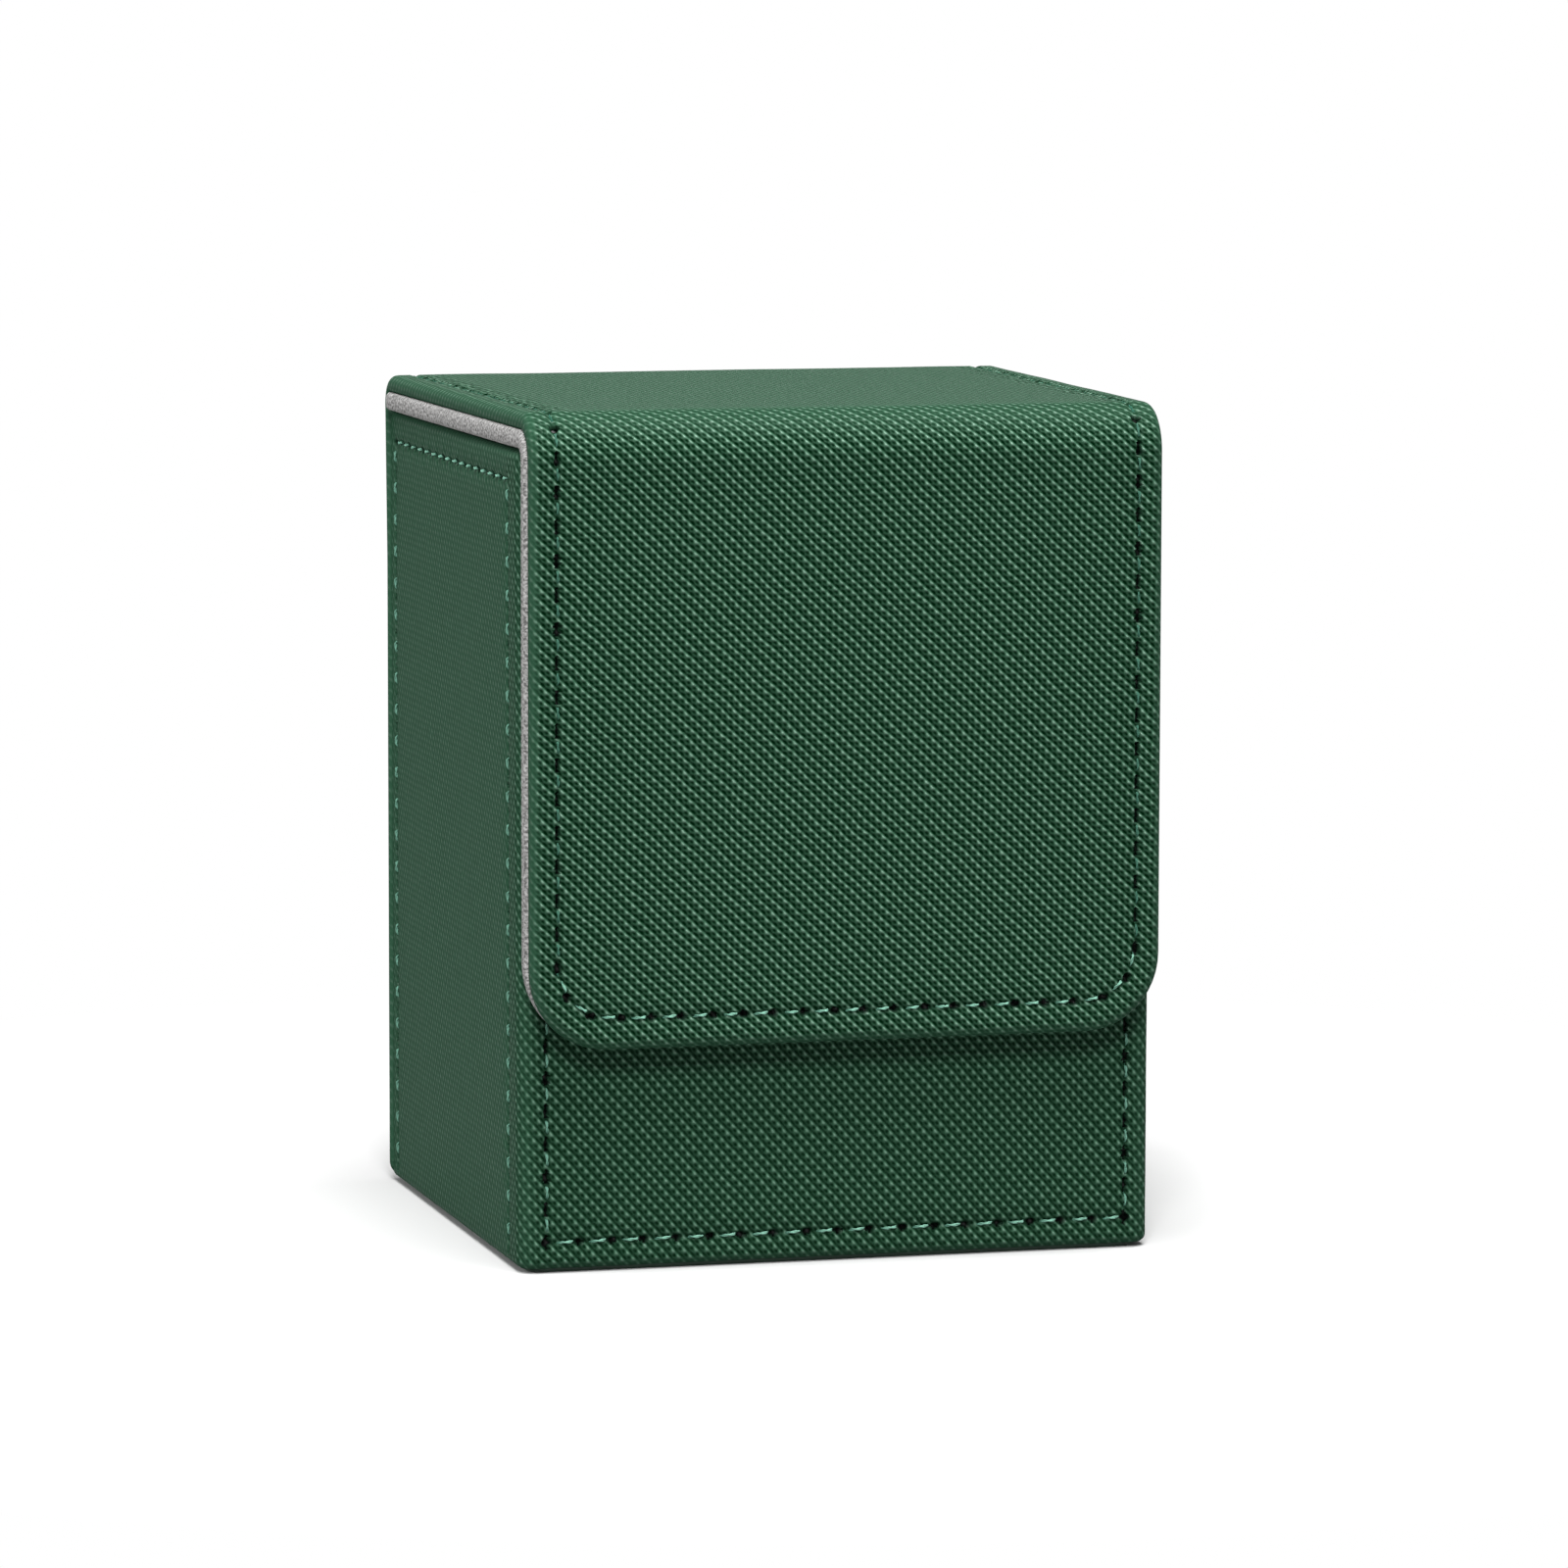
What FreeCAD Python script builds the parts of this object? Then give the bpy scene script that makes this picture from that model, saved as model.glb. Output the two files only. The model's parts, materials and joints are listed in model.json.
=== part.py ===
import FreeCAD, Part

import math
import os

from FreeCAD import Placement, Rotation, Vector

# Card deck box: an open-topped tray of covered grey board, and a hinged case strip that runs
# down the back, over the top and down the front as a magnetic flap.
# Frame: millimetres, +X to the right, -Y to the front, +Z up. The origin is on the table,
# under the middle of the tray.

# Tray
tray_width = 80.0
tray_depth = 71.5
tray_height = 99.4
tray_board = 2.3
tray_corner = 2.3
wall_edge_radius = 1.0
tray_lining = 0.8
lining_nose = 0.6

# Covering sheet, the same on the tray and on the case
skin = 0.8
skived_skin = 0.4
turn_in = 9.0

# Base sheet under the tray
base_sheet = 0.5
base_inset = 1.6

# Lid and flap
lid_inset = 0.4
lid_board = 1.0
lid_lining = 2.3
lid_gap = 0.35
lining_overhang = 0.35
lining_edge_bevel = 0.4
flap_drop = 76.9
flap_corner = 9.5
edge_roll = 1.3
edge_bevel = 0.5
rear_fold_radius = 4.0
lining_rear_reach = 1.5
lining_rear_bevel = 1.0

# Back of the case
back_card = 0.9
back_corner = 2.0

# Scored strip that lets the lid board bend into the flap
score_count = 5
score_depth = 0.65
score_width = 0.8

# Closure magnets, one pair in the flap and one in the tray's front
magnet_radius = 5.0
magnet_thickness = 1.0
magnet_clearance = 0.1
magnet_height = 50.0
magnet_spread = 22.0

# Sewing thread
stitch_pitch = 4.0
stitch_share = 0.62
thread_width = 0.55
thread_crown = 0.3
thread_proud = 0.2
lid_stitch_inset = 3.2
flap_stitch_foot = 3.85
front_stitch_inset = 3.3
rim_stitch_drop = 3.7
side_stitch_front = 6.2
side_stitch_rear = 2.5
side_stitch_foot = 2.0

# Levels and half widths that follow from the sizes above
half_width = tray_width / 2
tray_front = -tray_depth / 2
tray_back = tray_depth / 2
tray_foot = base_sheet
rim = tray_foot + tray_height
wall = skin + tray_board + tray_lining
board_outer_x = half_width - skin
board_inner_x = board_outer_x - tray_board
well_x = half_width - wall
front_board_inner_y = tray_front + skin + tray_board
back_board_inner_y = tray_back - tray_board
well_front = tray_front + wall
well_back = back_board_inner_y - tray_lining
board_foot = tray_foot + skived_skin
board_top = rim - skin
bottom_board_top = board_foot + tray_board
well_floor = bottom_board_top + tray_lining
turn_in_foot = rim - turn_in

shell = skin + lid_board + skived_skin
lid_half = half_width - lid_inset
lining_top = rim + lid_gap + lid_lining
lid_top_z = lining_top + shell
flap_inner_y = tray_front - lid_gap - lid_lining
flap_face_y = flap_inner_y - shell
front_fold_inner = wall_edge_radius + lid_gap
front_fold_radius = front_fold_inner + lid_lining + shell
front_fold_y = flap_face_y + front_fold_radius
front_fold_z = lid_top_z - front_fold_radius
flap_length = flap_drop - front_fold_radius

back_shell = skin + back_card
back_face_y = tray_back + back_shell
rear_fold_y = back_face_y - rear_fold_radius
rear_fold_z = lid_top_z - rear_fold_radius
back_length = rear_fold_z - tray_foot
top_length = rear_fold_y - front_fold_y

X_AXIS = Vector(1, 0, 0)
fold_angle = 90
same_level = 1e-6
samples_per_stitch = 20


def block(low, high):
    """A box between two corners."""
    size = Vector(*high) - Vector(*low)
    return Part.makeBox(size.x, size.y, size.z, Vector(*low))


def panel(half, length, low, high, corner):
    """A flat panel from y = 0 to y = length, with its two far corners rounded."""
    if corner <= 0:
        return block((-half, 0, low), (half, length, high))
    cut = corner * (1 - math.cos(math.pi / 4))
    near = length - corner
    start_left = Vector(-half, 0, low)
    end_left = Vector(-half, near, low)
    foot_left = Vector(-half + corner, length, low)
    foot_right = Vector(half - corner, length, low)
    end_right = Vector(half, near, low)
    start_right = Vector(half, 0, low)
    edges = [
        Part.LineSegment(start_left, end_left),
        Part.Arc(end_left, Vector(-half + cut, length - cut, low), foot_left),
        Part.LineSegment(foot_left, foot_right),
        Part.Arc(foot_right, Vector(half - cut, length - cut, low), end_right),
        Part.LineSegment(end_right, start_right),
        Part.LineSegment(start_right, start_left),
    ]
    outline = Part.Wire([edge.toShape() for edge in edges])
    return Part.Face(outline).extrude(Vector(0, 0, high - low))


def face_edges(solid, level, far_open):
    """The edges round a panel's face at that level, without those of its square ends."""
    far = solid.BoundBox.YMax
    found = []
    for edge in solid.Edges:
        box = edge.BoundBox
        on_level = box.ZLength < same_level and abs(box.ZMax - level) < same_level
        at_near_end = box.YMax < same_level
        at_far_end = far_open and box.YMin > far - same_level
        if on_level and not at_near_end and not at_far_end:
            found.append(edge)
    return found


def turned(solid, low, high, far_open=False):
    """A sheet's turned edges: rolled on the outer face and bevelled on the inner one."""
    roll = min(edge_roll, (high - low) / 2)
    bevel = min(edge_bevel, (high - low) / 3)
    solid = solid.makeFillet(roll, face_edges(solid, high, far_open))
    return solid.makeChamfer(bevel, face_edges(solid, low, far_open))


def padded(solid, low, high, far_open=False):
    """A lining pad's edges, bevelled on both faces."""
    bevel = min(lining_edge_bevel, (high - low) / 3)
    solid = solid.makeChamfer(bevel, face_edges(solid, high, far_open))
    return solid.makeChamfer(bevel, face_edges(solid, low, far_open))


def stand_down(shape, y, z, facing_front):
    """Turn a panel so that it hangs from height z, with its outer face to the front or back."""
    if facing_front:
        turn = Rotation(Vector(0, 1, 0), 180) * Rotation(X_AXIS, 90)
    else:
        turn = Rotation(X_AXIS, -90)
    shape = shape.copy()
    shape.Placement = Placement(Vector(0, y, z), turn)
    return shape


def lay_flat(shape, y, z):
    """Move a panel so that its near end is at y and its inner face at height z."""
    shape = shape.copy()
    shape.Placement = Placement(Vector(0, y, z), Rotation())
    return shape


def end_face(solid, y):
    """The near end of a panel, moved to y, as the section of a bend."""
    for face in solid.Faces:
        if face.BoundBox.YMax < same_level:
            face = face.copy()
            face.translate(Vector(0, y, 0))
            return face


# ---------------------------------------------------------------- tray


def tray_boards():
    """The five grey boards of the tray, butted at their edges."""
    front = block(
        (-board_outer_x, tray_front + skin, board_foot),
        (board_outer_x, front_board_inner_y, board_top),
    )
    corner_edges = []
    for edge in front.Edges:
        upright = edge.BoundBox.ZLength > tray_height / 2
        if upright and edge.BoundBox.YMax < tray_front + skin + same_level:
            corner_edges.append(edge)
    front = front.makeFillet(tray_corner - skin, corner_edges)
    for pocket in magnet_discs(
        magnet_radius + magnet_clearance,
        tray_front + skin,
        magnet_thickness + magnet_clearance,
    ):
        front = front.cut(pocket)
    left = block(
        (-board_outer_x, front_board_inner_y, board_foot),
        (-board_inner_x, back_board_inner_y, board_top),
    )
    right = block(
        (board_inner_x, front_board_inner_y, board_foot),
        (board_outer_x, back_board_inner_y, board_top),
    )
    back = block(
        (-board_outer_x, back_board_inner_y, board_foot),
        (board_outer_x, tray_back, rim - tray_lining),
    )
    bottom = block(
        (-board_inner_x, front_board_inner_y, board_foot),
        (board_inner_x, back_board_inner_y, bottom_board_top),
    )
    return {
        "tray_front_board": front,
        "tray_left_board": left,
        "tray_right_board": right,
        "tray_back_board": back,
        "tray_bottom_board": bottom,
    }


def tray_linings():
    """The soft lining inside the tray. The back one folds over the top of the back board."""
    front = block(
        (-well_x, front_board_inner_y, bottom_board_top),
        (well_x, well_front, turn_in_foot),
    )
    left = block(
        (-board_inner_x, front_board_inner_y, bottom_board_top),
        (-well_x, back_board_inner_y, turn_in_foot),
    )
    right = block(
        (well_x, front_board_inner_y, bottom_board_top),
        (board_inner_x, back_board_inner_y, turn_in_foot),
    )
    upright = block(
        (-well_x, well_back, bottom_board_top),
        (well_x, back_board_inner_y, rim),
    )
    cap = block(
        (-board_outer_x, back_board_inner_y, rim - tray_lining),
        (board_outer_x, tray_back, rim),
    )
    bottom = block(
        (-well_x, well_front, bottom_board_top),
        (well_x, well_back, well_floor),
    )
    back = upright.fuse(cap).removeSplitter()
    nose = []
    for edge in back.Edges:
        box = edge.BoundBox
        at_rim = box.ZLength < same_level and abs(box.ZMax - rim) < same_level
        if at_rim and abs(box.YMax - well_back) < same_level:
            nose.append(edge)
    back = back.makeFillet(min(lining_nose, 0.9 * tray_lining), nose)
    return {
        "tray_front_lining": front,
        "tray_left_lining": left,
        "tray_right_lining": right,
        "tray_back_lining": back,
        "tray_bottom_lining": bottom,
    }


def tray_cover():
    """One sheet round the left, front and right of the tray, turned in at rim and foot."""
    body = block(
        (-half_width, tray_front, tray_foot),
        (half_width, tray_back, rim),
    )
    uprights = []
    for edge in body.Edges:
        box = edge.BoundBox
        if box.ZLength > tray_height / 2 and box.YMax < tray_front + same_level:
            uprights.append(edge)
    body = body.makeFillet(tray_corner, uprights)
    around = []
    for edge in body.Edges:
        box = edge.BoundBox
        level = box.ZLength < same_level
        if level and box.YMin < tray_back - same_level:
            around.append(edge)
    body = body.makeFillet(wall_edge_radius, around)

    boards = tray_boards()
    core = [
        block(
            (-board_outer_x, back_board_inner_y, board_foot),
            (board_outer_x, tray_back, rim),
        ),
        block(
            (-board_inner_x, front_board_inner_y, board_foot),
            (board_inner_x, back_board_inner_y, turn_in_foot),
        ),
        boards["tray_left_board"],
        boards["tray_right_board"],
        boards["tray_front_board"],
    ]
    for pocket in magnet_discs(
        magnet_radius + magnet_clearance,
        tray_front + skin,
        magnet_thickness + magnet_clearance,
    ):
        core.append(pocket)
    mouth = block(
        (-well_x, well_front, turn_in_foot),
        (well_x, back_board_inner_y, rim + 1),
    )
    flare = mouth_flare()
    window = block(
        (-half_width + turn_in, tray_front + turn_in, tray_foot),
        (half_width - turn_in, tray_back, board_foot),
    )
    return body.cut(core + [mouth, flare, window])


def mouth_flare():
    """What a rounded inner rim takes off the turned-in edge of the tray's three walls."""
    radius = min(wall_edge_radius, wall / 2)
    grown = block(
        (-well_x - radius, well_front - radius, rim - radius),
        (well_x + radius, back_board_inner_y, rim),
    )
    keep = []
    for side in (-1, 1):
        keep.append(
            Part.makeCylinder(
                radius,
                tray_depth,
                Vector(side * (well_x + radius), tray_front, rim - radius),
                Vector(0, 1, 0),
            )
        )
    keep.append(
        Part.makeCylinder(
            radius,
            tray_width,
            Vector(-half_width, well_front - radius, rim - radius),
            X_AXIS,
        )
    )
    return grown.cut(keep)


def base():
    """The sheet glued under the tray, which the box stands on."""
    sheet = block(
        (-half_width + base_inset, tray_front + base_inset, 0),
        (half_width - base_inset, tray_back - base_inset, base_sheet),
    )
    uprights = [edge for edge in sheet.Edges if edge.BoundBox.ZLength > base_sheet / 2]
    return sheet.makeFillet(tray_corner, uprights)


# ---------------------------------------------------------------- case strip


def flap_parts():
    """The flap: board, turned cover, lining pad, all hanging from the front fold."""
    outer = turned(panel(lid_half, flap_length, 0, shell, flap_corner), 0, shell)
    board = panel(
        lid_half - skin,
        flap_length - skin,
        skived_skin,
        skived_skin + lid_board,
        flap_corner - skin,
    )
    window = panel(
        lid_half - turn_in,
        flap_length - turn_in,
        0,
        skived_skin,
        max(flap_corner - turn_in, 0),
    )
    cover = outer.cut([board, window])
    pad = panel(
        lid_half + lining_overhang,
        flap_length,
        -lid_lining,
        0,
        flap_corner + lining_overhang,
    )
    pad = padded(pad, -lid_lining, 0).fuse(window).removeSplitter()
    placed = {}
    for name, shape in (("flap_cover", cover), ("flap_board", board), ("flap_lining", pad)):
        placed[name] = stand_down(shape, flap_inner_y, front_fold_z, True)
    for hole in magnet_discs(
        magnet_radius + magnet_clearance,
        flap_face_y + skin,
        lid_board,
    ):
        placed["flap_board"] = placed["flap_board"].cut(hole)
    return placed


def top_parts():
    """The lid's top: board, cover and lining pad between the two folds."""
    outer = turned(panel(lid_half, top_length, 0, shell, 0), 0, shell, True)
    board = panel(lid_half - skin, top_length, skived_skin, skived_skin + lid_board, 0)
    window = panel(lid_half - turn_in, top_length, 0, skived_skin, 0)
    cover = outer.cut([board, window])
    pad = panel(lid_half + lining_overhang, top_length, -lid_lining, 0, 0)
    pad = padded(pad, -lid_lining, 0, True)
    pad = pad.fuse([window, lining_tail()]).removeSplitter()
    return {
        "top_cover": lay_flat(cover, front_fold_y, lining_top),
        "top_board": lay_flat(board, front_fold_y, lining_top),
        "top_lining": lay_flat(pad, front_fold_y, lining_top),
    }


def lining_tail():
    """The pad's rear end, which reaches under the rear fold with both edges bevelled off."""
    half = lid_half + lining_overhang - lining_edge_bevel
    end = top_length + lining_rear_reach
    bevel = min(lining_rear_bevel, 0.4 * lid_lining)
    profile = [
        Vector(-half, top_length, 0),
        Vector(-half, end - bevel, 0),
        Vector(-half, end, -bevel),
        Vector(-half, end - bevel, -lid_lining),
        Vector(-half, top_length, -lid_lining),
        Vector(-half, top_length, 0),
    ]
    return Part.Face(Part.makePolygon(profile)).extrude(Vector(2 * half, 0, 0))


def strip(half, low, high):
    """A short plain length of the case strip, between two heights."""
    return panel(half, 1.0, low, high, 0)


def front_bend(length):
    """The section of a length of strip, swung down through the front fold."""
    face = end_face(length, front_fold_y)
    return face.revolve(Vector(0, front_fold_y, front_fold_z), X_AXIS, fold_angle)


def rear_bend(length):
    """The section of a length of strip, swung down through the rear fold."""
    face = end_face(length, rear_fold_y)
    return face.revolve(Vector(0, rear_fold_y, rear_fold_z), X_AXIS, -fold_angle)


def front_fold_parts():
    """The bend between top and flap, with the lid board scored so that it can fold."""
    board_low = lining_top + skived_skin
    pad_low = lining_top - lid_lining
    outer = strip(lid_half, lining_top, lid_top_z)
    outer = front_bend(turned(outer, lining_top, lid_top_z, True))
    board = front_bend(strip(lid_half - skin, board_low, board_low + lid_board))
    window = front_bend(strip(lid_half - turn_in, lining_top, board_low))
    pad = strip(lid_half + lining_overhang, pad_low, lining_top)
    pad = front_bend(padded(pad, pad_low, lining_top, True))
    return {
        "front_fold_cover": outer.cut([board, window]),
        "front_fold_board": board.cut(score_grooves(board_low)),
        "front_fold_lining": pad.fuse(window).removeSplitter(),
    }


def score_grooves(board_low):
    """V grooves across the inner face of the bent board, fanned out over the fold."""
    left = -lid_half
    near = front_fold_y - score_width / 2
    far = front_fold_y + score_width / 2
    corners = [
        Vector(left, near, front_fold_z),
        Vector(left, near, board_low),
        Vector(left, front_fold_y, board_low + score_depth),
        Vector(left, far, board_low),
        Vector(left, far, front_fold_z),
        Vector(left, near, front_fold_z),
    ]
    groove = Part.Face(Part.makePolygon(corners)).extrude(Vector(2 * lid_half, 0, 0))
    grooves = []
    for index in range(score_count):
        fanned = groove.copy()
        angle = fold_angle * (index + 0.5) / score_count
        fanned.rotate(Vector(0, front_fold_y, front_fold_z), X_AXIS, angle)
        grooves.append(fanned)
    return grooves


def rear_fold_parts():
    """The bend between top and back: the cover and a lining strip, with no board."""
    inner = lid_top_z - back_shell
    outer = turned(strip(lid_half, inner, lid_top_z), inner, lid_top_z, True)
    lining = rear_bend(strip(lid_half - turn_in, inner, inner + back_card))
    return {
        "rear_fold_cover": rear_bend(outer).cut(lining),
        "rear_fold_lining": lining,
    }


def back_parts():
    """The back of the case: the cover with its turned edges, and the card between them."""
    outer = panel(lid_half, back_length, 0, back_shell, back_corner)
    outer = turned(outer, 0, back_shell)
    card = panel(lid_half - turn_in, back_length - turn_in, 0, back_card, 0)
    cover = stand_down(outer.cut(card), tray_back, rear_fold_z, False)
    foot_half = half_width - turn_in
    turned_under = block(
        (-foot_half, tray_back - turn_in, tray_foot),
        (foot_half, tray_back + back_shell / 2, board_foot),
    )
    return {
        "back_cover": cover.fuse(turned_under).removeSplitter(),
        "back_card": stand_down(card, tray_back, rear_fold_z, False),
    }


# ---------------------------------------------------------------- closure


def magnet_discs(radius, y, thickness):
    """A left and a right disc, with their front faces at y."""
    discs = []
    for side in (-1, 1):
        centre = Vector(side * magnet_spread, y, magnet_height)
        discs.append(Part.makeCylinder(radius, thickness, centre, Vector(0, 1, 0)))
    return discs


def magnets():
    """The four hidden magnets, in pairs that face each other when the flap is shut."""
    flap_y = flap_face_y + skin + (lid_board - magnet_thickness) / 2
    return {
        "flap_magnets": Part.makeCompound(
            magnet_discs(magnet_radius, flap_y, magnet_thickness)
        ),
        "tray_magnets": Part.makeCompound(
            magnet_discs(magnet_radius, tray_front + skin, magnet_thickness)
        ),
    }


# ---------------------------------------------------------------- sewing


def stitch(start, end, outward):
    """One visible stitch: a low bar with a narrowed crown, from start to end."""
    along = end - start
    side = along.cross(outward)
    side.normalize()
    foot = side * (thread_width / 2)
    crown = side * (thread_crown / 2)
    lift = outward * thread_proud
    corners = [
        start - foot,
        start + foot,
        start + crown + lift,
        start - crown + lift,
        start - foot,
    ]
    return Part.Face(Part.makePolygon(corners)).extrude(along)


def sew(path, outward):
    """Stitches spaced evenly along a path that lies on a flat face."""
    count = max(1, round(path.Length / stitch_pitch))
    points = path.discretize(Number=samples_per_stitch * count + 1)
    gap = round(samples_per_stitch * (1 - stitch_share) / 2)
    stitches = []
    for index in range(count):
        start = points[samples_per_stitch * index + gap]
        end = points[samples_per_stitch * (index + 1) - gap]
        stitches.append(stitch(start, end, outward))
    return stitches


def rows(corners, outward, closed=False):
    """Straight rows of stitches from corner to corner."""
    points = [Vector(*corner) for corner in corners]
    if closed:
        points.append(points[0])
    stitches = []
    for start, end in zip(points, points[1:]):
        stitches += sew(Part.Wire(Part.LineSegment(start, end).toShape()), outward)
    return stitches


def tray_stitching():
    """A frame of stitches on the tray's front, and three rows on each side."""
    x = half_width - front_stitch_inset
    low = tray_foot + front_stitch_inset
    high = rim - rim_stitch_drop
    y = tray_front
    front = rows([(-x, y, high), (-x, y, low), (x, y, low), (x, y, high)], Vector(0, -1, 0), True)
    front_y = tray_front + side_stitch_front
    rear_y = tray_back - side_stitch_rear
    foot = tray_foot + side_stitch_foot
    names = {"tray_front_stitching": front}
    for name, side in (("tray_left_stitching", -1), ("tray_right_stitching", 1)):
        x = side * half_width
        corners = [(x, front_y, foot), (x, front_y, high), (x, rear_y, high), (x, rear_y, foot)]
        names[name] = rows(corners, Vector(side, 0, 0))
    return names


def case_stitching():
    """The rows that follow the edges of the flap, the top and the back."""
    x = lid_half - lid_stitch_inset
    foot = flap_length - flap_stitch_foot
    turn = max(flap_corner - lid_stitch_inset, 0)
    outline = panel(x, foot, 0, 1, turn)
    outline = stand_down(outline, flap_face_y, front_fold_z, True)
    edges = []
    for edge in outline.Edges:
        box = edge.BoundBox
        on_face = abs(box.YMax - flap_face_y) < same_level and box.YLength < same_level
        if on_face and box.ZMin < front_fold_z - same_level:
            edges.append(edge)
    path = Part.Wire(Part.__sortEdges__(edges))
    flap = sew(path, Vector(0, -1, 0))
    top = []
    for side in (-1, 1):
        ends = [(side * x, front_fold_y, lid_top_z), (side * x, rear_fold_y, lid_top_z)]
        top += rows(ends, Vector(0, 0, 1))
    low = tray_foot + lid_stitch_inset
    y = back_face_y
    corners = [(-x, y, rear_fold_z), (-x, y, low), (x, y, low), (x, y, rear_fold_z)]
    back = rows(corners, Vector(0, 1, 0))
    return {"flap_stitching": flap, "top_stitching": top, "back_stitching": back}


# ---------------------------------------------------------------- hinge lines


def crease(radius, y, z, quarters):
    """The pivot that turns half of a bend without stretching its outer face.

    It lies on the half bend's bisector, which is that many quarters of a fold from +Y to +Z.
    """
    quarter = math.radians(fold_angle / 4)
    reach = radius * quarter / math.sin(quarter)
    bearing = quarters * quarter
    return y + reach * math.cos(bearing), z + reach * math.sin(bearing)


def show_places():
    """Print the hinge lines and the card well, in millimetres."""
    rear = (rear_fold_radius, rear_fold_y, rear_fold_z)
    front = (front_fold_radius, front_fold_y, front_fold_z)
    places = {
        "rear crease": crease(*rear, 1),
        "lid crease": crease(*rear, 3),
        "front crease": crease(*front, 5),
        "flap crease": crease(*front, 7),
    }
    for name, (y, z) in places.items():
        print(f"{name}: y {y:.3f}, z {z:.3f}")
    print(f"card well: x +-{well_x:.3f}, y {well_front:.3f} to {well_back:.3f}")
    print(f"card well: z {well_floor:.3f} to {rim:.3f}, lid top {lid_top_z:.3f}")


def main():
    os.makedirs("parts", exist_ok=True)
    nodes = {"tray_cover": tray_cover(), "base_sheet": base()}
    nodes.update(tray_boards())
    nodes.update(tray_linings())
    nodes.update(back_parts())
    nodes.update(rear_fold_parts())
    nodes.update(top_parts())
    nodes.update(front_fold_parts())
    nodes.update(flap_parts())
    nodes.update(magnets())
    for name, stitches in {**tray_stitching(), **case_stitching()}.items():
        nodes[name] = Part.makeCompound(stitches)
    for name, shape in nodes.items():
        shape.exportStep(f"parts/{name}.step")
    show_places()
    return nodes


main()
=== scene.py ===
import json
import math
import random
from collections import namedtuple

import bmesh
import bpy
import numpy as np
from mathutils import Matrix, Vector, noise
from mathutils.geometry import delaunay_2d_cdt

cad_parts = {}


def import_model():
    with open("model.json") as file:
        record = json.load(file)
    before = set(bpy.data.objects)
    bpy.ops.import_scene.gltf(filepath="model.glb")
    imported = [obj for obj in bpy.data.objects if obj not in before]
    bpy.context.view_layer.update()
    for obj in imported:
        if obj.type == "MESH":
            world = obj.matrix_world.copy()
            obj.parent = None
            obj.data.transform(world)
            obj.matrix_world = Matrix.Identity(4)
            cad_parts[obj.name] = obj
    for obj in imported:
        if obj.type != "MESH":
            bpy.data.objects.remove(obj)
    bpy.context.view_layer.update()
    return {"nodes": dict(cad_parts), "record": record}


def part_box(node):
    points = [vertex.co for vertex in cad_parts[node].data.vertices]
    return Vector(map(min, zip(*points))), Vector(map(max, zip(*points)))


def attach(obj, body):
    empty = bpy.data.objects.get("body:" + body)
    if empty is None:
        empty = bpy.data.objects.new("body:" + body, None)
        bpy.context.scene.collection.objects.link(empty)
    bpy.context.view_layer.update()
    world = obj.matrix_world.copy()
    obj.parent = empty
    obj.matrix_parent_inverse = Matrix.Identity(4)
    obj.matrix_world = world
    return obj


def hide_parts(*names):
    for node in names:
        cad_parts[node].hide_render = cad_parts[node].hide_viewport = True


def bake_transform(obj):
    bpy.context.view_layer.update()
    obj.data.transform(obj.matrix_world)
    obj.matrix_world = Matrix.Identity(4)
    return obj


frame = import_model()
random.seed(5)

# Lengths below are in millimetres, and become metres where a mesh is made.
MM = 0.001
QUARTER = math.pi / 2

# ---- sizes read from the frame


def size_of(node):
    """Lowest and highest corner of a CAD node, in millimetres."""
    return [[round(value / MM, 3) for value in corner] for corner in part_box(node)]


tray_low, tray_high = size_of("tray_cover")
flap_low, flap_high = size_of("flap_cover")
front_low, front_high = size_of("front_fold_cover")
top_low, top_high = size_of("top_cover")
rear_low, rear_high = size_of("rear_fold_cover")
back_high = size_of("back_cover")[1]
pad_low, pad_high = size_of("top_lining")
side_lining_low, side_lining_high = size_of("tray_right_lining")
back_board_low, back_board_high = size_of("tray_back_board")
back_lining_low = size_of("tray_back_lining")[0]

strip_half = top_high[0]
lid_shell = top_high[2] - top_low[2]
back_shell = back_high[1] - tray_high[1]
pad_half = pad_high[0]
pad_thickness = top_low[2] - pad_low[2]
pad_tail = pad_high[1] - top_high[1]
card_half = size_of("back_card")[1][0]
fold_board_half = size_of("front_fold_board")[1][0]

half_width = tray_high[0]
tray_front = tray_low[1]
tray_back = tray_high[1]
foot = tray_low[2]
rim = tray_high[2]
wall = half_width - side_lining_low[0]
turn_in = rim - side_lining_high[2]

# The strip's length, from the flap's free end over the top and down the back
front_radius = front_high[2] - front_low[2]
rear_radius = rear_high[2] - rear_low[2]
at_front_fold = front_low[2] - flap_low[2]
at_top = at_front_fold + front_radius * QUARTER
at_rear_fold = at_top + top_high[1] - top_low[1]
at_back = at_rear_fold + rear_radius * QUARTER
strip_end = at_back + rear_low[2] - foot
front_middle = (at_front_fold + at_top) / 2
rear_middle = (at_rear_fold + at_back) / 2

# ---- sizes of the finish

SKIN = 0.8
SKIVED_SKIN = 0.4
TURNED_EDGE = 8.6
EDGE_ROLL = 1.2
EDGE_BEVEL = 0.35
FLAP_CORNER = 9.5
BACK_CORNER = 2.0
REAR_FLARE = (0.0, 1.05, 0.8)
TRAY_CORNER = 2.3
RIM_ROLL = 1.0
PAD_ROLL = 0.55
PAD_BEVEL = 0.4
LINER_PROUD = 0.2
LINER_NOSE = 0.6
LINER_COVE = 0.8

STITCH_INSET = 3.2
FLAP_STITCH_FOOT = 3.85
FRONT_STITCH_INSET = 3.3
RIM_STITCH_DROP = 3.7
SIDE_STITCH_FRONT = 6.2
SIDE_STITCH_REAR = 2.5
SIDE_STITCH_FOOT = 2.0

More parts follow.
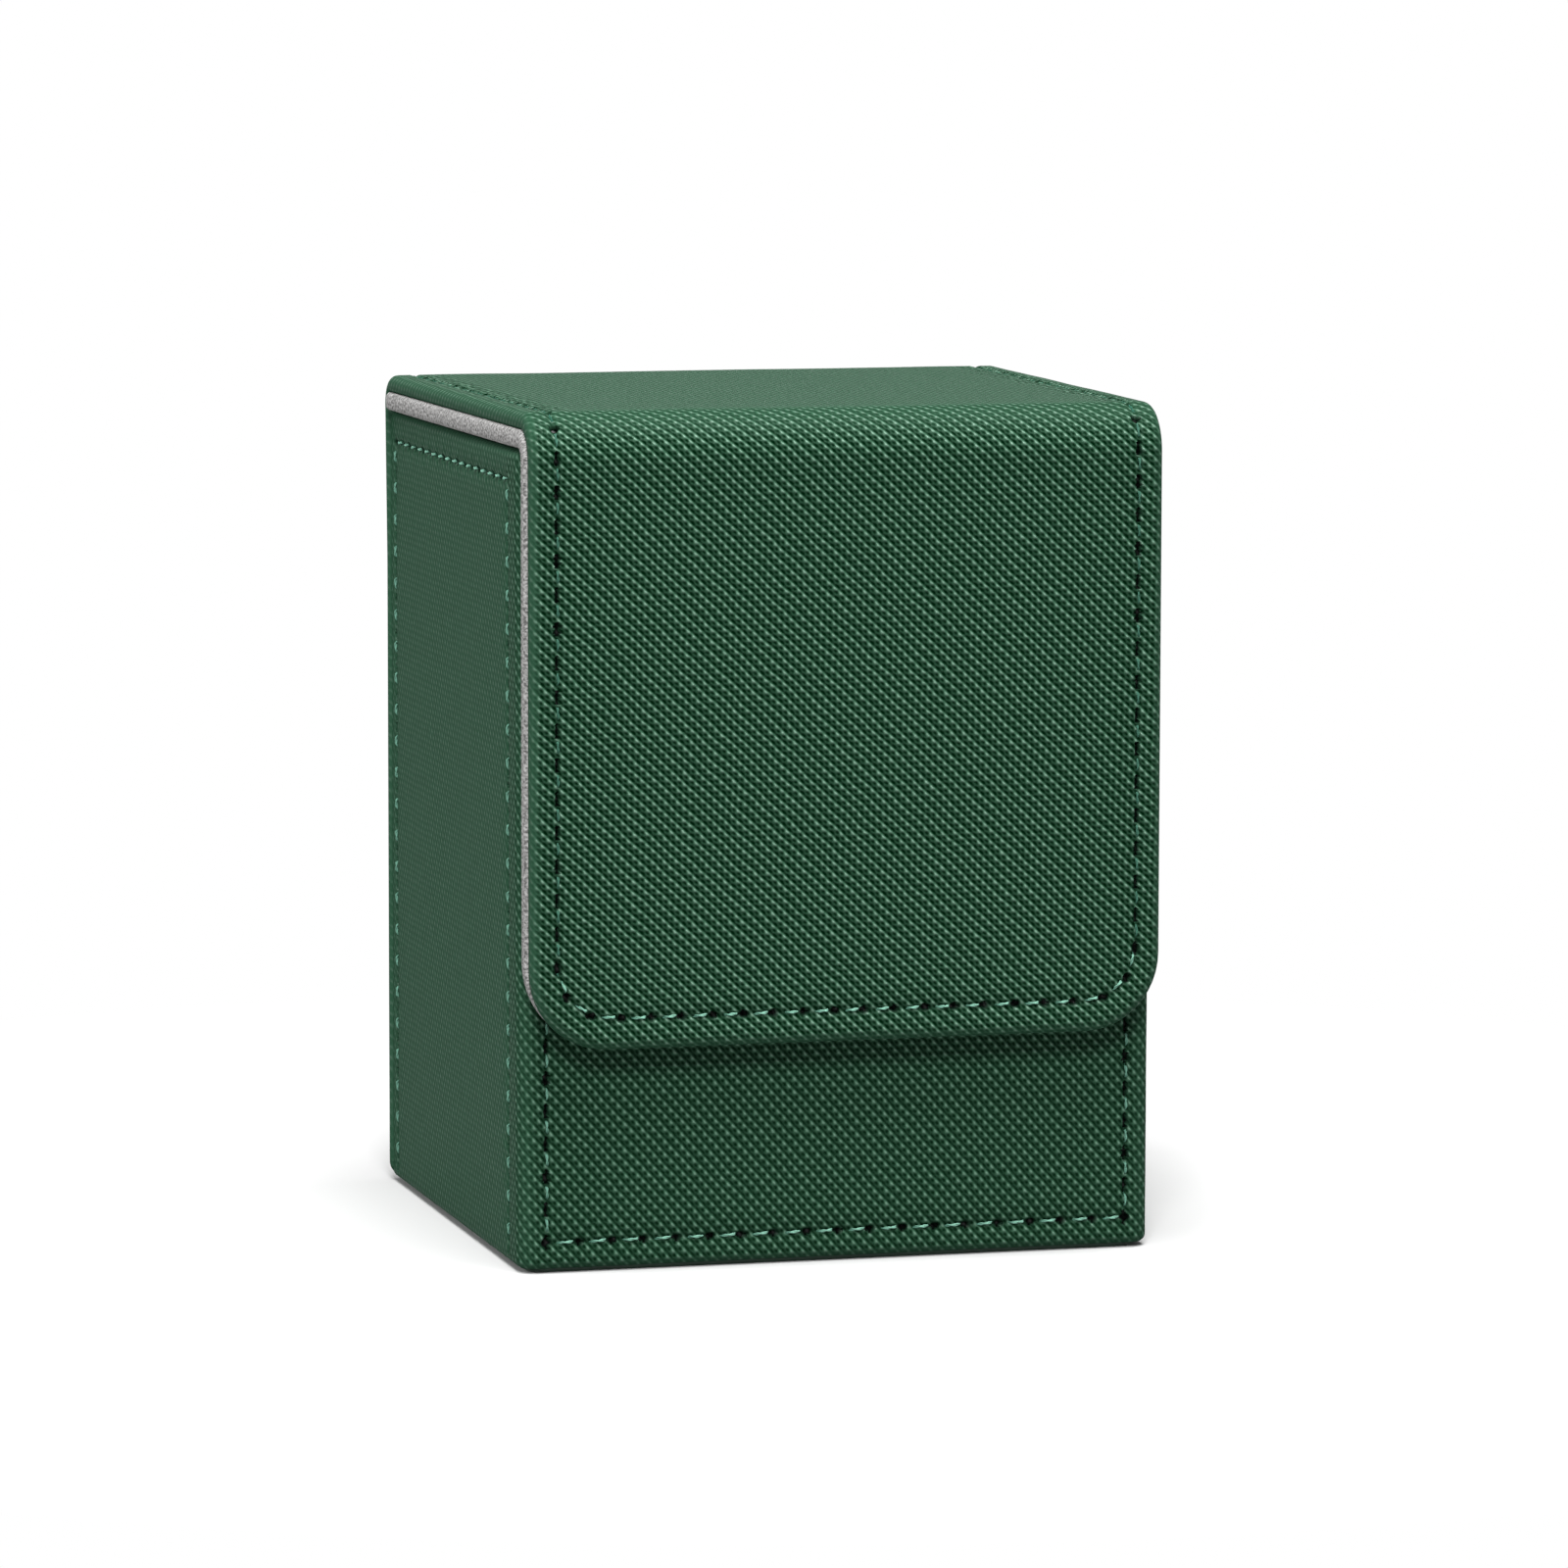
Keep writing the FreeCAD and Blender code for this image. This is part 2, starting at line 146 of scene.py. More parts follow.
GROOVE_DEPTH = 0.32
GROOVE_WIDTH = 0.42
HOLE_DEPTH = 0.75
DEEPEST = 0.74
HOLE_RINGS = (1.4, 1.0, 0.8, 0.35)
HOLE_LIP = 0.07
LIP_AT = 1.25
LIP_WIDTH = 0.3
LONG_SLOT = (1.10, 0.34)
ROUND_SLOT = (0.72, 0.62)
BELLY = 0.05

STRAND_RADIUS = 0.105
STRAND_OFFSET = 0.08
THREAD_SUNK = 0.75
THREAD_FALL = 0.4
SINK_IN = 0.12
SINK_OUT = 0.15
THREAD_TURNS = 2.0
THREAD_RINGS = 16
STRAND_SIDES = 6

EDGE_EMBOSS = 0.05
SIDE_EMBOSS = 0.22
CORNER_EMBOSS = 0.65
FOLD_EMBOSS = 0.6

GRID = 2.5
FOLD_GRID = 0.6
STITCH_PITCH = 4.0
SEAM_STEP = 0.5
SEAM_OFFSETS = (-0.65, -0.3, 0.0, 0.3, 0.65)
SEAM_CLEAR = 0.95
CUT_ROW = 0.07
CUT_CLEAR, LINE_CLEAR, GRID_CLEAR = 0.03, 0.12, 0.3
CORNER_STEPS = 8
ROUND_STEPS = 12
ROLL_STEPS = 6
SHARP = 0.9
JOIN = 2e-6


# ---- where a flat sheet is bent to


def flared(x, s):
    """The strip is a little wider toward its rear fold and down the back."""
    wider = np.interp(s, (at_top, at_rear_fold, at_back + 20), REAR_FLARE)
    return x * (1 + wider / strip_half)


def strip_place(x, s, h):
    """A point of the case strip: x across, s along it, h above its outer face."""
    x, s, h = np.broadcast_arrays(np.asarray(x, float), s, h)
    x = flared(x, s)
    front_turn = np.clip((s - at_front_fold) / front_radius, 0, QUARTER)
    rear_turn = np.clip((s - at_rear_fold) / rear_radius, 0, QUARTER)
    y = flap_low[1] + front_radius * (1 - np.cos(front_turn))
    z = flap_low[2] + np.minimum(s, at_front_fold) + front_radius * np.sin(front_turn)
    y = y + np.clip(s - at_top, 0, at_rear_fold - at_top) + rear_radius * np.sin(rear_turn)
    z = z - rear_radius * (1 - np.cos(rear_turn)) - np.maximum(s - at_back, 0)
    turn = front_turn + rear_turn
    return np.stack([x, y - h * np.cos(turn), z + h * np.sin(turn)], -1)


def top_place(x, s, h):
    """Like strip_place, on the lid's top carried on straight past the rear fold."""
    x, s, h = np.broadcast_arrays(np.asarray(x, float), s, h)
    return np.stack([flared(x, s), top_low[1] + s - at_top, top_high[2] + h], -1)


def inward(place, depth=0.0):
    """The same sheet, with h measured inward from a depth below its face."""
    return lambda x, s, h: place(x, s, -depth - np.asarray(h, float))


def tray_place(u, v, h):
    """A point of the tray's cover: u round the walls from the front's middle, v its height."""
    u, v, h = np.broadcast_arrays(np.asarray(u, float), v, h)
    flat = half_width - TRAY_CORNER
    turn = np.clip((np.abs(u) - flat) / TRAY_CORNER, 0, QUARTER)
    beyond = np.maximum(np.abs(u) - flat - TRAY_CORNER * QUARTER, 0)
    radius = TRAY_CORNER + h
    x = np.minimum(np.minimum(np.abs(u), flat) + radius * np.sin(turn), half_width + h)
    y = np.maximum(tray_front + TRAY_CORNER - radius * np.cos(turn) + beyond, tray_front - h)
    y = np.where(h < -1.05 * SKIN, np.minimum(y, back_board_low[1]), y)
    return np.stack([np.sign(u) * x, y, v], -1)


corner_end = half_width - TRAY_CORNER + TRAY_CORNER * QUARTER
side_end = corner_end + tray_back - tray_front - TRAY_CORNER


def side_u(y):
    """The tray cover's u at that y on its right side."""
    return corner_end + y - tray_front - TRAY_CORNER


# ---- seams


def left_of(along):
    return np.array([-along[1], along[0]])


def gap(places, start, end):
    """Distance from each place to the straight line between two others."""
    step = end - start
    share = np.clip((places - start) @ step / (step @ step), 0, 1)
    return np.linalg.norm(places - start - share[:, None] * step, axis=1)


# How a row is sewn: the half length and width of its needle holes, how far its stitches slant
# and how far they lie to one side, the run in which they come up, how high, and how bright a
# highlight is painted on them.
Stitch = namedtuple("Stitch", "slot slant shift run top shine")
LEVEL = Stitch(ROUND_SLOT, 0.22, 0.0, 2.0, 0.06, 1.0)
ON_FLAP = Stitch(LONG_SLOT, 0.1, -0.08, 0.9, -0.1, 0.12)
ON_TOP = Stitch(ROUND_SLOT, 0.1, -0.08, 0.9, -0.26, 0.0)
ON_BACK = Stitch(ROUND_SLOT, 0.1, -0.08, 0.9, -0.1, 0.12)
ON_TRAY_FRONT = Stitch(LONG_SLOT, 0.1, -0.08, 0.9, 0.02, 0.55)
ON_TRAY_SIDE = Stitch(LONG_SLOT, 0.1, 0.0, 0.9, 0.02, 0.55)


class Seam:
    """A row of stitches through needle holes that are evenly spaced along a path on a sheet."""

    def __init__(self, points, count, stitch, round_at=()):
        self.points = np.array(points, float)
        steps = np.linalg.norm(np.diff(self.points, axis=0), axis=1)
        self.lengths = np.concatenate([[0], np.cumsum(steps)])
        self.stitch = stitch
        self.holes = []
        for index in range(count + 1):
            centre, along = self.at(self.lengths[-1] * index / count)
            near_fold = any(abs(centre[1] - level) < 3 for level in round_at)
            self.holes.append((centre, along, ROUND_SLOT if near_fold else stitch.slot))
        self.jitter = [(random.uniform(-0.06, 0.06), random.uniform(0, 6.3)) for _ in self.holes]

    def at(self, length):
        """The point and direction at a length along the path."""
        along = self.point(length + 0.2) - self.point(length - 0.2)
        return self.point(length), along / np.linalg.norm(along)

    def point(self, length):
        return np.array([np.interp(length, self.lengths, self.points[:, k]) for k in (0, 1)])

    def distance(self, places):
        """Distance from the path to each place on the sheet."""
        return np.min([gap(places, *ends) for ends in zip(self.points, self.points[1:])], axis=0)


def straight(start, end, stitch):
    """A straight row, its stitches as near to the usual length as fit in evenly."""
    return Seam([start, end], max(1, round(math.dist(start, end) / STITCH_PITCH)), stitch)


seam_x = strip_half - STITCH_INSET
seam_turn = FLAP_CORNER - STITCH_INSET
flap_seam_foot = FLAP_STITCH_FOOT + seam_turn
back_seam_foot = strip_end - STITCH_INSET


def flap_foot_path():
    """Round the flap's lower corners and along its end."""
    points = []
    for side, first in ((-1, 180), (1, 270)):
        for step in range(CORNER_STEPS + 1):
            angle = math.radians(first + 90 * step / CORNER_STEPS)
            x = side * (seam_x - seam_turn) + seam_turn * math.cos(angle)
            points.append((x, flap_seam_foot + seam_turn * math.sin(angle)))
    return points


strip_seams = [Seam(flap_foot_path(), 21, LEVEL)]
for x in (-seam_x, seam_x):
    for start, end, count, stitch in (
        (flap_seam_foot, front_middle, 16, ON_FLAP),
        (front_middle, rear_middle, 19, ON_TOP),
        (rear_middle, back_seam_foot, 25, ON_BACK),
    ):
        folds = (front_middle, rear_middle)
        strip_seams.append(Seam([(x, start), (x, end)], count, stitch, folds))
strip_seams.append(straight((-seam_x, back_seam_foot), (seam_x, back_seam_foot), LEVEL))

front_x = half_width - FRONT_STITCH_INSET
front_foot, seam_top = foot + FRONT_STITCH_INSET, rim - RIM_STITCH_DROP
side_near = side_u(tray_front + SIDE_STITCH_FRONT)
side_far = side_u(tray_back - SIDE_STITCH_REAR)
side_foot = foot + SIDE_STITCH_FOOT
tray_seams = {
    "front": [straight((-front_x, v), (front_x, v), LEVEL) for v in (front_foot, seam_top)]
    + [straight((x, front_foot), (x, seam_top), ON_TRAY_FRONT) for x in (-front_x, front_x)]
}
for name, near, far in (("left", -side_near, -side_far), ("right", side_near, side_far)):
    rows = [straight((u, side_foot), (u, seam_top), ON_TRAY_SIDE) for u in (near, far)]
    ends = [(u, seam_top) for u in sorted((near, far))]
    tray_seams[name] = rows + [straight(*ends, LEVEL)]


# ---- relief of a sheet


def belly(places):
    """Slow unevenness of a glued sheet."""
    return np.array(
        [
            BELLY * noise.noise(Vector((x * 0.07, s * 0.07, 3.1)))
            + BELLY * 0.4 * noise.noise(Vector((x * 0.3, s * 0.3, 7.7)))
            for x, s in places
        ]
    )


def hole_reach(places, holes):
    """For each place, how many hole radii it is from the nearest hole's centre."""
    best = np.full(len(places), 9.0)
    for centre, along, (length, width) in holes:
        offset = places - centre
        down = offset @ along / length
        across = offset @ left_of(along) / width
        best = np.minimum(best, np.hypot(down, across))
    return best


def relief(places, seams):
    """Height of the sheet's face at each place, and how deep in a needle hole it is."""
    height = belly(places)
    for seam in seams:
        height -= GROOVE_DEPTH * np.exp(-((seam.distance(places) / GROOVE_WIDTH) ** 2))
    reach = hole_reach(places, [hole for seam in seams for hole in seam.holes])
    height += HOLE_LIP * np.exp(-(((reach - LIP_AT) / LIP_WIDTH) ** 2))
    depth = np.clip((1.0 - reach) / (HOLE_RINGS[1] - HOLE_RINGS[2]), 0, 1)
    return np.maximum(height - HOLE_DEPTH * depth, -DEEPEST), depth


# ---- meshes of a sheet


def inside(places, loop):
    """Which places lie inside a closed loop, and how far each is from it."""
    loop = np.array(loop)
    within = np.zeros(len(places), bool)
    near = np.full(len(places), 1e9)
    for start, end in zip(loop, np.roll(loop, -1, 0)):
        step = end - start
        if step[1]:
            crosses = (places[:, 1] < start[1]) != (places[:, 1] < end[1])
            at = start[0] + (places[:, 1] - start[1]) * step[0] / step[1]
            within ^= crosses & (places[:, 0] < at)
        near = np.minimum(near, gap(places, start, end))
    return within, near


def seam_places(seams):
    """Rings round every needle hole, and lines beside the seams between them."""
    holes = [hole for seam in seams for hole in seam.holes]
    rings = []
    for centre, along, (length, width) in holes:
        rings.append(centre)
        for reach in HOLE_RINGS:
            for angle in np.arange(12) * math.pi / 6:
                down = along * length * math.cos(angle)
                rings.append(centre + reach * (down + left_of(along) * width * math.sin(angle)))
    lines = []
    for seam in seams:
        for length in np.arange(0, seam.lengths[-1], SEAM_STEP):
            point, along = seam.at(length)
            lines += [point + left_of(along) * offset for offset in SEAM_OFFSETS]
    lines = np.array(lines)
    clear = hole_reach(lines, holes) > HOLE_RINGS[0] * 1.15
    return np.array(rings), lines[clear]


def apart(places, least=0.09):
    """Places with those dropped that lie on top of an earlier one."""
    seen = set()
    kept = []
    for place in places:
        cell = (round(place[0] / least), round(place[1] / least))
        around = {(cell[0] + i, cell[1] + j) for i in (-1, 0, 1) for j in (-1, 0, 1)}
        if not seen & around:
            seen.add(cell)
            kept.append(place)
    return kept


def face_mesh(loop, seams, columns, levels, cuts):
    """Triangles over the area inside loop, fine at its seams and coarse elsewhere."""
    grid = np.array([(x, s) for x in columns for s in levels])
    rows = [(x, cut + side * CUT_ROW) for x in cut_columns for cut in cuts for side in (-1, 1)]
    groups = [(np.array(rows), CUT_CLEAR)] if rows else []
    if seams:
        rings, lines = seam_places(seams)
        clear = np.min([seam.distance(grid) for seam in seams], axis=0) > SEAM_CLEAR
        groups += [(rings, CUT_CLEAR), (lines, LINE_CLEAR)]
        grid = grid[clear]
    groups.append((grid, GRID_CLEAR))
    places = []
    for group, clearance in groups:
        within, near = inside(group, loop)
        places += list(group[within & (near > clearance)])
    points = [Vector(place) for place in list(loop) + apart(places)]
    edges = [(index, (index + 1) % len(loop)) for index in range(len(loop))]
    found = delaunay_2d_cdt(points, edges, [], 1, 1e-6)
    return np.array([tuple(point) for point in found[0]]), found[2]


def new_mesh(name, points, faces, flat, layers):
    """A mesh with places on the flat sheet as its UV map, its layers, and its bmesh."""
    mesh = bpy.data.meshes.new(name)
    mesh.from_pydata([tuple(point) for point in points], [], faces)
    uv = mesh.uv_layers.new(name="sheet")
    corners = np.array([loop.vertex_index for loop in mesh.loops])
    uv.data.foreach_set("uv", np.array(flat, np.float32)[corners].ravel())
    for label, values in layers.items():
        layer = mesh.attributes.new(label, "FLOAT", "POINT")
        layer.data.foreach_set("value", np.array(values, np.float32))
    work = bmesh.new()
    work.from_mesh(mesh)
    return mesh, work


def new_piece(name, mesh, work, material):
    """The object of a mesh, once its bmesh is finished."""
    work.to_mesh(mesh)
    work.free()
    mesh.polygons.foreach_set("use_smooth", [True] * len(mesh.polygons))
    mesh.materials.append(material)
    piece = bpy.data.objects.new(name, mesh)
    bpy.context.scene.collection.objects.link(piece)
    return piece


class Sheet:
    """Collects the faces of one piece, with its place on the flat sheet as the UV map."""

    def __init__(self, place, pressed=None):
        self.place = place
        self.pressed = pressed or (lambda places: 1.0)
        self.points = []
        self.flat = []
        self.emboss = []
        self.hole_shade = []
        self.faces = []

    def add(self, places, heights, flat=None, emboss=1.0, hole_shade=0.0):
        """Vertices at these places on the sheet. Returns the first one's index."""
        first = len(self.points)
        count = len(places)
        self.points += list(self.place(places[:, 0], places[:, 1], heights) * MM)
        self.flat += list(places if flat is None else flat)
        self.emboss += list(np.broadcast_to(emboss, count))
        self.hole_shade += list(np.broadcast_to(hole_shade, count))
        return first

    def face(self, loop, seams, columns, levels, cuts=()):
        """The outer face, with the relief of its seams."""
        places, triangles = face_mesh(loop, seams, columns, levels, cuts)
        heights, pits = relief(places, seams) if seams else (belly(places), 0.0)
        emboss = self.pressed(places) * (1 - np.asarray(pits))
        first = self.add(places, heights, emboss=emboss, hole_shade=pits)
        self.faces += [tuple(first + corner for corner in face) for face in triangles]

    def band(self, edge, section):
        """The strip of sheet that goes round an edge. Returns its last ring's indices."""
        base, normal = edge
        rings = []
        rise = belly(base - normal * section[0][0])
        for index, (inset, depth, length) in enumerate(section):
            fade = max(0.0, 1 - index / ROLL_STEPS)
            pressed = EDGE_EMBOSS + (1 - EDGE_EMBOSS) * fade * fade
            reach = np.broadcast_to(length - section[0][0], len(base))[:, None]
            first = self.add(
                base - normal * inset,
                rise * fade - depth,
                base + normal * reach,
                emboss=pressed * self.pressed(base),
            )
            rings.append(range(first, first + len(base)))
        self.bridge(rings)
        return rings[-1]

    def bridge(self, rings):
        """Faces between each row of vertices and the next."""
        for ring, following in zip(rings, rings[1:]):
            self.faces += zip(ring, ring[1:], following[1:], following)

    def build(self, name, material):
        """The finished object, closed, with its faces turned outward."""
        layers = {"emboss": self.emboss, "hole_shade": self.hole_shade}
        mesh, work = new_mesh(name, self.points, self.faces, self.flat, layers)
        middle = np.mean([self.flat[index] for index in self.faces[0]], axis=0)
        outward = self.place(*middle, 1.0) - self.place(*middle, 0.0)
        probe = work.faces.layers.int.new("probe")
        work.faces.ensure_lookup_table()
        work.faces[0][probe] = 1
        bmesh.ops.remove_doubles(work, verts=work.verts, dist=JOIN)
        bmesh.ops.dissolve_degenerate(work, edges=work.edges, dist=JOIN / 20)
        open_edges = [edge for edge in work.edges if edge.is_boundary]
        bmesh.ops.holes_fill(work, edges=open_edges, sides=0)
        bmesh.ops.recalc_face_normals(work, faces=work.faces)
        for edge in open_edges:
            edge.smooth = False
        for edge in work.edges:
            if len(edge.link_faces) == 2 and edge.calc_face_angle() > SHARP:
                edge.smooth = False
        marked = [face for face in work.faces if face[probe]]
        if marked and marked[0].normal.dot(Vector(outward)) < 0:
            bmesh.ops.reverse_faces(work, faces=work.faces)
        work.faces.layers.int.remove(probe)
        return new_piece(name, mesh, work, material)


def roll_section(radius, steps=ROLL_STEPS):
    """The first part of a band: a sheet rolled over an edge."""
    angles = [QUARTER * step / steps for step in range(steps + 1)]
    return [(radius * (1 - math.sin(a)), radius * (1 - math.cos(a)), radius * a) for a in angles]


def turned_section(shell):
    """A cover's edge: rolled, down the side, turned in under, and back to the outer sheet."""
    rolled = roll_section(EDGE_ROLL)
    side = EDGE_ROLL * QUARTER + shell - EDGE_ROLL - EDGE_BEVEL
    return rolled + [
        (0, shell - EDGE_BEVEL, side),
        (EDGE_BEVEL, shell, side + EDGE_BEVEL),
        (TURNED_EDGE, shell, side + TURNED_EDGE),
        (TURNED_EDGE, shell - SKIVED_SKIN, side + TURNED_EDGE + SKIVED_SKIN),
        (SKIN, shell - SKIVED_SKIN, side + 2 * TURNED_EDGE),
        (SKIN, SKIN, side + 2 * TURNED_EDGE + SKIN),
    ]


def pad_section():
    """A lining pad's edge, from its soft visible face to the side glued to the cover."""
    return roll_section(PAD_ROLL, 4) + [
        (0, pad_thickness - PAD_BEVEL, pad_thickness),
        (PAD_BEVEL, pad_thickness, pad_thickness + PAD_BEVEL),
    ]


def spaced(start, end, step=GRID):
    """Evenly spaced values from start to end."""
    return np.linspace(start, end, max(1, round(abs(end - start) / step)) + 1)


def cut_levels(start, end, step=GRID, far_cut=True):
    """Values from start to end with a narrow row beside each cut."""
    toward = math.copysign(CUT_ROW, end - start)
    levels = list(spaced(start, end, step))
    return np.array([start, start + toward] + levels[1:-1] + [end - toward] * far_cut + [end])


def edge_round(half, start, end, corner):
    """An end panel's free edge, from its left cut round its end to its right cut."""
    toward = 1 if end > start else -1
    centre = end - toward * corner
    sides = cut_levels(start, centre, far_cut=False)
    places = [(-half, s) for s in sides]
    normals = [(-1, 0)] * len(places)
    for side in (-1, 1):
        for step in range(1 if side < 0 else 0, ROUND_STEPS + 1):
            angle = QUARTER * step / ROUND_STEPS + (QUARTER if side > 0 else 0)
            x, s = -math.cos(angle), toward * math.sin(angle)
            normals.append((x, s))
            places.append((side * (half - corner) + corner * x, centre + corner * s))
        if side < 0:
            middle = [(x, end) for x in spaced(-half + corner, half - corner)[1:-1]]
            places += middle
            normals += [(0, toward)] * len(middle)
    places += [(half, s) for s in sides[-2::-1]]
    normals += [(1, 0)] * len(sides[1:])
    return np.array(places), np.array(normals, float)


def edge_sides(half, start, end, step=GRID):
    """The two straight edges of a panel that is cut at both ends."""
    levels = cut_levels(start, end, step)
    return [
        (np.array([(side * half, s) for s in levels]), np.array([(side, 0.0)] * len(levels)))
        for side in (-1, 1)
    ]


seam_columns = [0, 0.8, SEAM_CLEAR] + [ROUND_SLOT[1] * reach for reach in HOLE_RINGS]
cut_columns = sorted(
    {round(float(x), 4) for x in spaced(-32.5, 32.5)}
    | {side * (seam_x + sign * x) for side in (-1, 1) for sign in (-1, 1) for x in seam_columns}
)


def cut_points(start, end):
    """Points between the two ends of a cut, the same on both pieces that meet there."""
    low, high = sorted((start[0], end[0]))
    between = [(x, start[1]) for x in cut_columns if low + 0.1 < x < high - 0.1]
    return between if start[0] < end[0] else between[::-1]


def area_loop(edges, inset):
    """The outer face's outline, inside the rolled edges."""
    rings = [[tuple(point) for point in base - normal * inset] for base, normal in edges]
    if len(rings) == 1:
        return rings[0] + cut_points(rings[0][-1], rings[0][0])
    left, right = rings
    return left + cut_points(left[-1], right[-1]) + right[::-1] + cut_points(right[0], left[0])


def near_seams(seams, low, high):
    """The seams whose holes come near a stretch of the strip."""
    reach = [(seam, seam.points[:, 1]) for seam in seams]
    return [seam for seam, s in reach if s.min() < high + 2 and s.max() > low - 2]


def fold_pressing(places):
    """The relief is flatter over the upper half of the front fold, and the highlights and shade
    painted with it are fainter there.
    """
    s = places[:, 1]
    over = smooth((s - at_front_fold - 2) / 4) * smooth((at_top + 2 - s) / 2)
    return 1 - (1 - FOLD_EMBOSS) * over


def strip_piece(name, place, edges, section, seams, material, step=GRID):
    """A piece of the case strip: its face, its edges and its hidden side."""
    sheet = Sheet(place, fold_pressing)
    loop = area_loop(edges, section[0][0])
    ends = [edges[0][0][0][1], edges[0][0][-1][1]]
    levels = spaced(min(point[1] for point in loop), max(point[1] for point in loop), step)
    columns = [x for x in cut_columns if abs(x) < seam_x - SEAM_CLEAR]
    columns += [side * (strip_half - inset) for side in (-1, 1) for inset in (1.8, 2.4)]
    sheet.face(loop, near_seams(seams, levels[0], levels[-1]), columns, levels, sorted(set(ends)))
    rings = [sheet.band(edge, section) for edge in edges]
    sheet.bridge(rings)
    if len(rings) == 1:
        sheet.faces.append(tuple(rings[0]))
    return sheet.build(name, material)


def tube(name, place, stations, profile, material):
    """A closed profile carried along the stations. place takes a station and a profile point."""
    sheet = Sheet(place)
    profile = np.array(profile + profile[:1], float)
    steps = np.hypot(*np.diff(profile, axis=0).T)
    lengths = np.concatenate([[0], np.cumsum(steps)])
    rings = []
    for (b, h), length in zip(profile, lengths):
        places = np.array([(a, b) for a in stations])
        flat = np.array([(a, length) for a in stations])
        first = sheet.add(places, np.full(len(stations), h), flat)
        rings.append(range(first, first + len(stations)))
    sheet.bridge(rings)
    return sheet.build(name, material)


def slab(name, fold, half, depth, material):
    """A plain strip inside a fold, from under the cover's skin to a depth below its face."""
    return tube(
        name,
        lambda s, x, h: strip_place(x, s, -np.asarray(h, float)),
        spaced(fold.start, fold.end, SEAM_STEP),
        [(-half, SKIN), (half, SKIN), (half, depth), (-half, depth)],
        material,
    )


# ---- thread


def stitch_shares(start, end, first_slot, last_slot, low, high):
    """Shares of a stitch's length at which it gets a ring, within the piece's stretch."""
    pitch = np.linalg.norm(end - start)
    first, last = (first_slot - SINK_IN) / pitch, 1 - (last_slot - SINK_OUT) / pitch
    shares = list(np.linspace(first, last, THREAD_RINGS))
    climb = end[1] - start[1]
    for cut in (low, high):
        if climb and shares[0] < (cut - start[1]) / climb < shares[-1]:
            shares.append((cut - start[1]) / climb)
    shares = np.array(sorted(shares))
    levels = start[1] + shares * climb
    return shares[(levels >= low - 1e-6) & (levels <= high + 1e-6)]


def smooth(value):
    """0 below 0, 1 above 1, and a smooth rise between."""
    value = np.clip(value, 0, 1)
    return value * value * (3 - 2 * value)


def thread(name, place, seams, low=-1e9, high=1e9):
    """Two twisted plies over each stitch, diving into the needle holes at its ends."""
    points, flat, thread_highlights, faces = [], [], [], []
    turn = np.arange(STRAND_SIDES) * 2 * math.pi / STRAND_SIDES
    up, wide = STRAND_RADIUS * np.sin(turn), STRAND_RADIUS * np.cos(turn)
    for seam in seams:
        for first, last, (lean, phase) in zip(seam.holes, seam.holes[1:], seam.jitter):
            start, end = first[0], last[0]
            shares = stitch_shares(start, end, first[2][0], last[2][0], low, high)
            if len(shares) < 2:
                continue
            pitch = np.linalg.norm(end - start)
            along = (end - start) / pitch
            gone, left = shares * pitch - first[2][0], (1 - shares) * pitch - last[2][0]
            sewn = seam.stitch
            crown = smooth((gone + SINK_IN) / sewn.run) * smooth((left + SINK_OUT) / THREAD_FALL)
            height = sewn.top - THREAD_SUNK * (1 - crown)
            slope = np.arctan(np.gradient(height, shares * pitch))
            side = sewn.shift + (sewn.slant + lean) * (2 * shares - 1)
            for ply in (0, math.pi):
                twist = phase + ply + 2 * math.pi * THREAD_TURNS * shares
                base = len(points)
                for k, share in enumerate(shares):
                    out = side[k] + STRAND_OFFSET * math.cos(twist[k]) + wide
                    back = math.sin(slope[k]) * up
                    centre = start + along * share * pitch
                    places = centre + left_of(along) * out[:, None] - along * back[:, None]
                    h = height[k] + STRAND_OFFSET * math.sin(twist[k]) + up * math.cos(slope[k])
                    points += list(place(places[:, 0], places[:, 1], h) * MM)
                    flat += [(angle, share * pitch) for angle in turn]
                    # Painted highlight: each stitch is painted brighter where it has risen out of
                    # its holes, more on some rows than on others.
                    thread_highlights += [crown[k] * crown[k] * sewn.shine] * STRAND_SIDES
                rings = np.arange(base, len(points)).reshape(-1, STRAND_SIDES)
                after = np.roll(rings, -1, 1)
                sides = np.stack([rings[:-1], after[:-1], after[1:], rings[1:]], -1)
                faces += sides.reshape(-1, 4).tolist() + rings[[0, -1]].tolist()
    mesh, work = new_mesh(name, points, faces, flat, {"crown": thread_highlights})
    bmesh.ops.recalc_face_normals(work, faces=work.faces)
    return new_piece(name, mesh, work, green_thread)


# ---- materials


